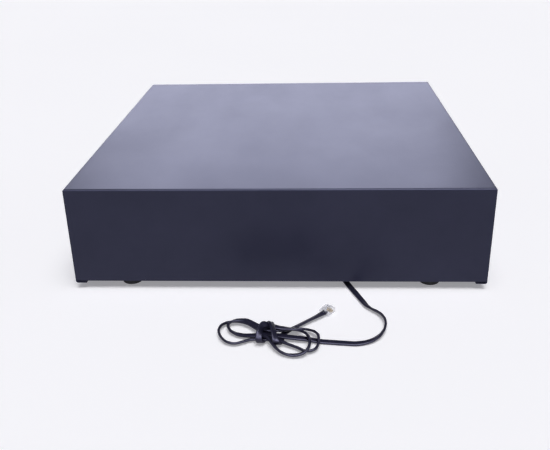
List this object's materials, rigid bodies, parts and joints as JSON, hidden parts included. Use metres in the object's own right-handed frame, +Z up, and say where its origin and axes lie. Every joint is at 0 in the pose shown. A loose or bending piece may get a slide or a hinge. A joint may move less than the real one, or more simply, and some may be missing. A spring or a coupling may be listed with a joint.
{
  "type": "cash drawer",
  "caption": "Low sheet-steel cash drawer on rubber feet: sliding drawer with note and coin till, solenoid latch, key lock, and a flat cord tied in a small hank with a modular plug.",
  "frame": {"origin": "on the standing surface, under the middle of the case", "axes": "+Z up; the drawer opens towards -Y and the plain rear panel faces +Y; +X is on the right when looking along +Y at the drawer's front"},
  "size_m": [0.41, 0.551, 0.1075],
  "materials": {
    "black_paint": "fine-texture powder coat",
    "zinc_steel": "zinc plated",
    "dark_steel": "oiled",
    "brass": "turned",
    "black_plastic": "moulded",
    "grey_plastic": "moulded",
    "rubber": "matt",
    "copper_coil": "enamelled winding",
    "cord_skin": "satin PVC",
    "clear_plastic": "clear polycarbonate"
  },
  "bodies": {
    "case": {"case_shell": "black_paint", "base_pan": "black_paint", "foot_front_left": "rubber", "foot_front_right": "rubber", "foot_rear_left": "rubber", "foot_rear_right": "rubber", "foot_screw_front_left": "zinc_steel", "foot_screw_front_right": "zinc_steel", "foot_screw_rear_left": "zinc_steel", "foot_screw_rear_right": "zinc_steel", "slide_outer_left": "zinc_steel", "slide_outer_right": "zinc_steel", "latch_bracket": "zinc_steel", "hook_pivot_pin": "dark_steel", "solenoid_frame": "zinc_steel", "solenoid_coil": "copper_coil", "hook_torsion_spring": "dark_steel", "eject_guide": "zinc_steel", "eject_spring": "dark_steel", "switch_body": "grey_plastic", "cable_grommet": "rubber", "internal_lead": "cord_skin", "lead_connector": "grey_plastic", "cord_run": "cord_skin", "cord_hank": "cord_skin", "cord_plug_lead": "cord_skin", "modular_plug": "clear_plastic"},
    "drawer": {"drawer_pan": "black_paint", "drawer_front": "black_paint", "slide_inner_left": "zinc_steel", "slide_inner_right": "zinc_steel", "front_screw_left": "zinc_steel", "front_screw_right": "zinc_steel", "lock_barrel": "brass", "lock_nut": "brass", "shaft_bearing": "zinc_steel", "striker_bracket": "zinc_steel", "striker_pin": "dark_steel", "till_body": "black_plastic", "coin_tray": "black_plastic", "clip_rod": "zinc_steel", "bill_divider_1": "black_plastic", "bill_divider_2": "black_plastic", "bill_divider_3": "black_plastic", "bill_divider_4": "black_plastic"},
    "lock": {"lock_plug": "brass", "release_shaft": "zinc_steel"},
    "cage_left": {"ball_cage_left": "dark_steel"},
    "cage_right": {"ball_cage_right": "dark_steel"},
    "hook": {"latch_hook": "zinc_steel"},
    "plunger": {"solenoid_plunger": "dark_steel"},
    "ejector": {"eject_plunger": "black_plastic"},
    "lever": {"switch_lever": "zinc_steel"},
    "clip_1": {"bill_clip_1": "grey_plastic"},
    "clip_2": {"bill_clip_2": "grey_plastic"},
    "clip_3": {"bill_clip_3": "grey_plastic"},
    "clip_4": {"bill_clip_4": "grey_plastic"},
    "clip_5": {"bill_clip_5": "grey_plastic"}
  },
  "joints": [
    {"name": "drawer_slide", "type": "slide", "parent": "case", "child": "drawer", "axis": [0, -1, 0], "range_m": [0, 0.27]},
    {"name": "cage_left_slide", "type": "slide", "parent": "case", "child": "cage_left", "axis": [0, -1, 0], "range_m": [0, 0.1351]},
    {"name": "cage_right_slide", "type": "slide", "parent": "case", "child": "cage_right", "axis": [0, -1, 0], "range_m": [0, 0.1351]},
    {"name": "lock_turn", "type": "hinge", "parent": "drawer", "child": "lock", "pos_m": [0, -0.2134, 0.022], "axis": [0, 1, 0], "range_deg": [-45, 90]},
    {"name": "plunger_slide", "type": "slide", "parent": "case", "child": "plunger", "axis": [0, 0, -1], "range_m": [0, 0.0044]},
    {"name": "hook_pivot", "type": "hinge", "parent": "case", "child": "hook", "pos_m": [0, 0.204, 0.05], "axis": [1, 0, 0], "range_deg": [0, 18]},
    {"name": "ejector_slide", "type": "slide", "parent": "case", "child": "ejector", "axis": [0, 1, 0], "range_m": [0, 0.003], "stiffness_N_per_m": 400},
    {"name": "lever_pivot", "type": "hinge", "parent": "case", "child": "lever", "pos_m": [0.0248, 0.1845, 0.068], "axis": [-1, 0, 0], "range_deg": [0, 4], "stiffness_Nm_per_rad": 0.02},
    {"name": "clip_1_hinge", "type": "hinge", "parent": "drawer", "child": "clip_1", "pos_m": [-0.14784, 0.152, 0.08], "axis": [-1, 0, 0], "range_deg": [0, 36.7], "stiffness_Nm_per_rad": 0.03, "springref_deg": -28.65},
    {"name": "clip_2_hinge", "type": "hinge", "parent": "drawer", "child": "clip_2", "pos_m": [-0.07392, 0.152, 0.08], "axis": [-1, 0, 0], "range_deg": [0, 36.7], "stiffness_Nm_per_rad": 0.03, "springref_deg": -28.65},
    {"name": "clip_3_hinge", "type": "hinge", "parent": "drawer", "child": "clip_3", "pos_m": [0, 0.152, 0.08], "axis": [-1, 0, 0], "range_deg": [0, 36.7], "stiffness_Nm_per_rad": 0.03, "springref_deg": -28.65},
    {"name": "clip_4_hinge", "type": "hinge", "parent": "drawer", "child": "clip_4", "pos_m": [0.07392, 0.152, 0.08], "axis": [-1, 0, 0], "range_deg": [0, 36.7], "stiffness_Nm_per_rad": 0.03, "springref_deg": -28.65},
    {"name": "clip_5_hinge", "type": "hinge", "parent": "drawer", "child": "clip_5", "pos_m": [0.14784, 0.152, 0.08], "axis": [-1, 0, 0], "range_deg": [0, 36.7], "stiffness_Nm_per_rad": 0.03, "springref_deg": -28.65}
  ],
  "couplings": [
    {"joint": "cage_left_slide", "follows": "drawer_slide", "ratio": 0.5},
    {"joint": "cage_right_slide", "follows": "drawer_slide", "ratio": 0.5},
    {"joint": "hook_pivot", "follows": "plunger_slide", "rad_per_m": 71.39}
  ]
}
